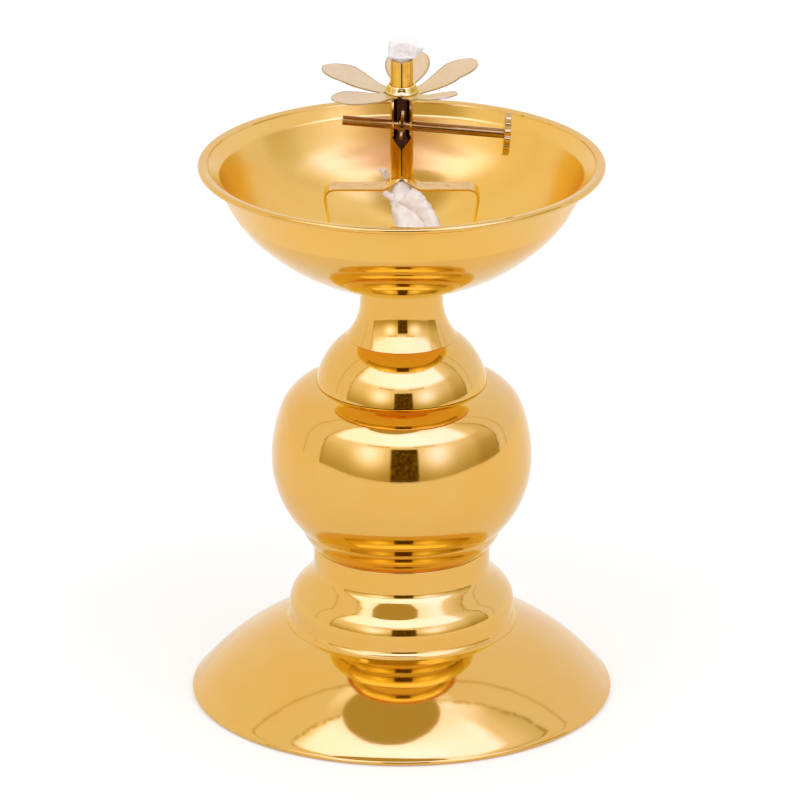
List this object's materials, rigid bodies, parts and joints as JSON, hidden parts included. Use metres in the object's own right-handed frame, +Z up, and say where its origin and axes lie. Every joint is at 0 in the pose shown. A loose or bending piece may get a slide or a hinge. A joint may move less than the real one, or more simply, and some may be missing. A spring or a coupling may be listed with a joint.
{
  "type": "oil lamp",
  "caption": "Pedestal oil lamp in polished spun brass, with a dished bowl and a lift-out wick stand whose knob feeds the wick up a tube through a petal collar.",
  "frame": {"origin": "centre of the base's foot ring, on the table", "axes": "+Z up along the lamp's axis; the wick tube's seam and wheel face -Y; the knob points to +X"},
  "size_m": [0.1, 0.1, 0.1627],
  "materials": {
    "polished_brass": "polished, spun",
    "bright_brass_sheet": "bright rolled sheet",
    "satin_brass_sheet": "satin, brushed lengthways",
    "plated_steel": "zinc plated",
    "wick_cotton": "loose twisted cotton"
  },
  "bodies": {
    "root": {"base_skirt": "polished_brass", "base_drum": "polished_brass", "bead_ring": "polished_brass", "ball_body": "polished_brass", "shoulder_dome": "polished_brass", "neck": "polished_brass", "bowl": "polished_brass", "bowl_boss": "polished_brass", "tie_rod": "plated_steel", "clamp_washer": "plated_steel", "spring_washer": "plated_steel", "base_nut": "plated_steel"},
    "stand": {"wick_stand": "bright_brass_sheet", "wick_tail": "wick_cotton"},
    "spindle": {"spindle": "bright_brass_sheet", "wick_wheel": "bright_brass_sheet", "spindle_knob": "bright_brass_sheet"},
    "wick": {"wick": "wick_cotton"},
    "flower": {"petal_rosette": "satin_brass_sheet", "flower_collar": "bright_brass_sheet"}
  },
  "joints": [
    {"name": "stand_lift", "type": "slide", "parent": "root", "child": "stand", "axis": [0, 0, 1], "range_m": [0, 0.06]},
    {"name": "spindle_turn", "type": "hinge", "parent": "stand", "child": "spindle", "pos_m": [0, -0.003, 0.1424], "axis": [0.9962, 0, -0.0872], "range_deg": [0, 130]},
    {"name": "wick_feed", "type": "slide", "parent": "stand", "child": "wick", "axis": [0, 0, 1], "range_m": [0, 0.0079]},
    {"name": "flower_slide", "type": "slide", "parent": "stand", "child": "flower", "axis": [0, 0, 1], "range_m": [0, 0.005]}
  ],
  "couplings": [
    {"joint": "spindle_turn", "follows": "wick_feed", "rad_per_m": 285.71}
  ]
}
